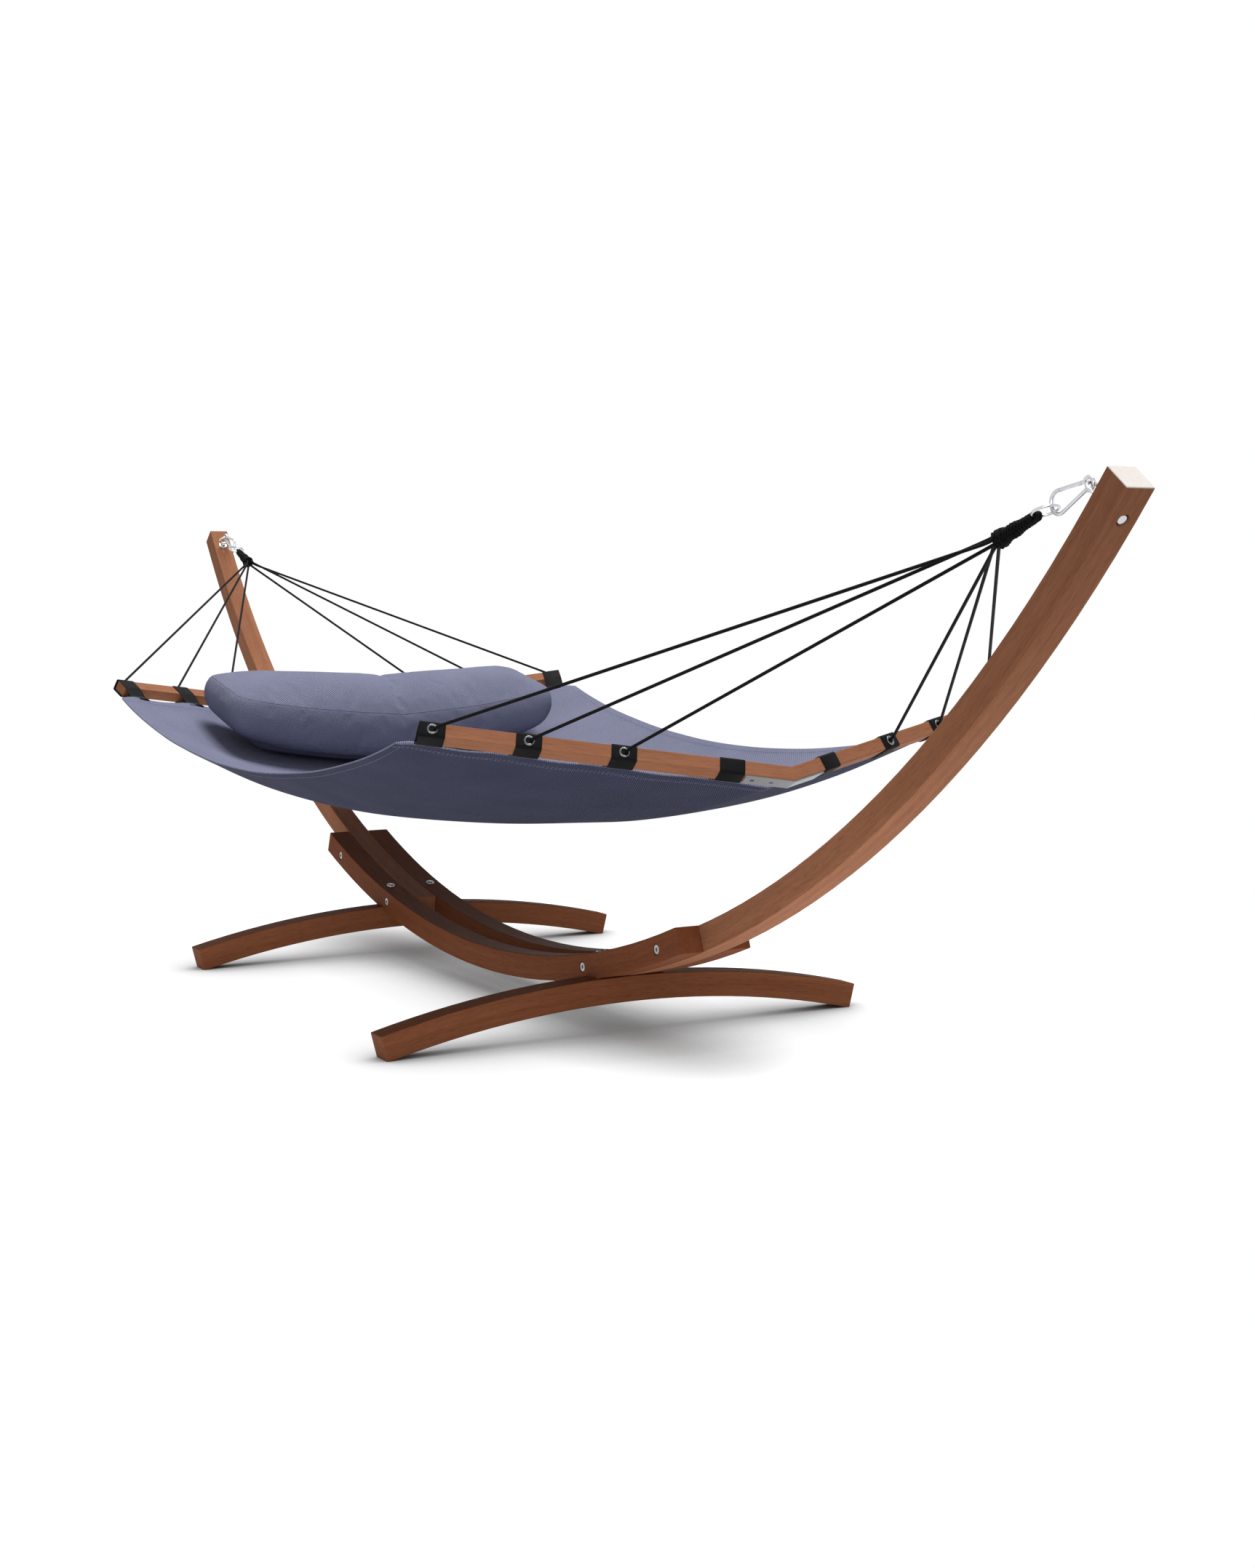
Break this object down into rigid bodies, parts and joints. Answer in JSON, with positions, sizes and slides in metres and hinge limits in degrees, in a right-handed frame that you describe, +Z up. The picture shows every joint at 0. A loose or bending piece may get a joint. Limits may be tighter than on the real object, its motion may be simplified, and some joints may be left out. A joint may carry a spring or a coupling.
{
  "type": "hammock on stand",
  "caption": "Cloth hammock bed on chevron spreader bars, hung by ropes and snap hooks in a bowed laminated wood stand with arched cross beams, with a long loose pillow.",
  "frame": {"origin": "on the floor, midway between the two cross beams", "axes": "+X from the head end, where the pillow lies, to the foot end; +Y to the left of someone lying in the bed; +Z up"},
  "size_m": [4.4038, 1.374, 1.1718],
  "materials": {
    "stand_wood": "stained and oiled",
    "bar_wood": "stained and oiled",
    "sling_cloth": "heather twill",
    "pillow_cloth": "heather twill",
    "strap_webbing": "woven",
    "rope": "braided",
    "bright_steel": "bright plated",
    "zinc_steel": "zinc plated"
  },
  "bodies": {
    "stand": {"arm_foot": "stand_wood", "arm_head": "stand_wood", "base_rail_left": "stand_wood", "base_rail_right": "stand_wood", "cross_beam_bolt_nuts": "zinc_steel", "cross_beam_bolt_washers": "zinc_steel", "cross_beam_bolts": "zinc_steel", "cross_beam_foot": "stand_wood", "cross_beam_head": "stand_wood", "eye_bolt_ferrules": "zinc_steel", "eye_bolt_foot": "bright_steel", "eye_bolt_head": "bright_steel", "eye_bolt_nuts": "zinc_steel", "eye_bolt_washers": "zinc_steel", "rail_bolt_nuts": "zinc_steel", "rail_bolt_washers": "zinc_steel", "rail_bolts": "zinc_steel"},
    "hammock": {"bar_bracket_foot": "zinc_steel", "bar_bracket_head": "zinc_steel", "bracket_screws": "zinc_steel", "clew_foot": "rope", "clew_head": "rope", "clew_whipping_foot": "rope", "clew_whipping_head": "rope", "eyelets_foot": "bright_steel", "eyelets_head": "bright_steel", "gate_pin_foot": "zinc_steel", "gate_pin_head": "zinc_steel", "ring_foot": "bright_steel", "ring_head": "bright_steel", "rope_1_foot_left": "rope", "rope_1_foot_right": "rope", "rope_1_head_left": "rope", "rope_1_head_right": "rope", "rope_2_foot_left": "rope", "rope_2_foot_right": "rope", "rope_2_head_left": "rope", "rope_2_head_right": "rope", "rope_3_foot_left": "rope", "rope_3_foot_right": "rope", "rope_3_head_left": "rope", "rope_3_head_right": "rope", "rope_knots_foot": "rope", "rope_knots_head": "rope", "sling": "sling_cloth", "snap_hook_foot": "bright_steel", "snap_hook_head": "bright_steel", "spreader_bar_foot_left": "bar_wood", "spreader_bar_foot_right": "bar_wood", "spreader_bar_head_left": "bar_wood", "spreader_bar_head_right": "bar_wood", "straps_foot_left": "strap_webbing", "straps_foot_right": "strap_webbing", "straps_head_left": "strap_webbing", "straps_head_right": "strap_webbing"},
    "gate_foot": {"gate_spring_foot": "zinc_steel", "snap_gate_foot": "bright_steel"},
    "gate_head": {"gate_spring_head": "zinc_steel", "snap_gate_head": "bright_steel"},
    "pillow": {"pillow": "pillow_cloth"}
  },
  "joints": [
    {"name": "hammock_swing", "type": "hinge", "parent": "stand", "child": "hammock", "pos_m": [0, 0, 1.14932], "axis": [1, 0, 0], "range_deg": [-20, 20]},
    {"name": "gate_foot_open", "type": "hinge", "parent": "hammock", "child": "gate_foot", "pos_m": [2.06634, 0, 1.15004], "axis": [0, -1, 0], "range_deg": [0, 25], "stiffness_Nm_per_rad": 0.08, "springref_deg": -14.32},
    {"name": "gate_head_open", "type": "hinge", "parent": "hammock", "child": "gate_head", "pos_m": [-2.06634, 0, 1.15004], "axis": [0, 1, 0], "range_deg": [0, 25], "stiffness_Nm_per_rad": 0.08, "springref_deg": -14.32},
    {"name": "pillow_lift", "type": "slide", "parent": "hammock", "child": "pillow", "axis": [0, 0, 1], "range_m": [0, 0.25]}
  ]
}
